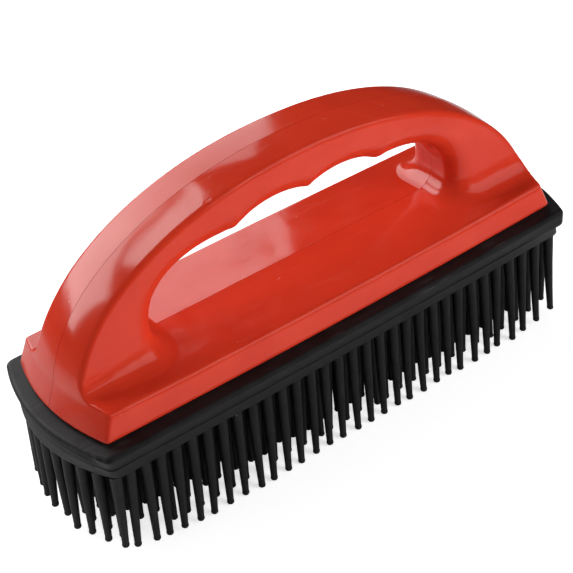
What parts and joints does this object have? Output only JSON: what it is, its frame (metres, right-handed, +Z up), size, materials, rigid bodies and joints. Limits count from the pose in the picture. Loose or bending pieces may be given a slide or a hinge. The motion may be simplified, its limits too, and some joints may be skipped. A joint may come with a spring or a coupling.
{
  "type": "rubber curry brush",
  "caption": "Hand-held curry brush: a hollow plastic body with an arched finger-grip handle, a black rubber rim and a crowned rubber pad of long tapered pins.",
  "frame": {"origin": "on the surface that the brush stands on, below the middle of its length and width", "axes": "+X along the length, +Y across the width, +Z up from the pin tips to the handle"},
  "size_m": [0.1646, 0.0518, 0.0906],
  "materials": {
    "red_gloss_plastic": "glossy moulded plastic with fine scuffs",
    "black_rubber": "matt moulded rubber with a little dust",
    "grey_plastic": "matt moulded plastic",
    "zinc_plated_steel": "zinc plated"
  },
  "bodies": {
    "root": {"body_half_left": "red_gloss_plastic", "body_half_right": "red_gloss_plastic", "retaining_rim": "black_rubber", "pin_pad": "black_rubber", "backing_plate": "grey_plastic", "plate_screw_1": "zinc_plated_steel", "plate_screw_2": "zinc_plated_steel", "plate_screw_3": "zinc_plated_steel", "plate_screw_4": "zinc_plated_steel", "plate_screw_5": "zinc_plated_steel", "plate_screw_6": "zinc_plated_steel"}
  },
  "joints": []
}
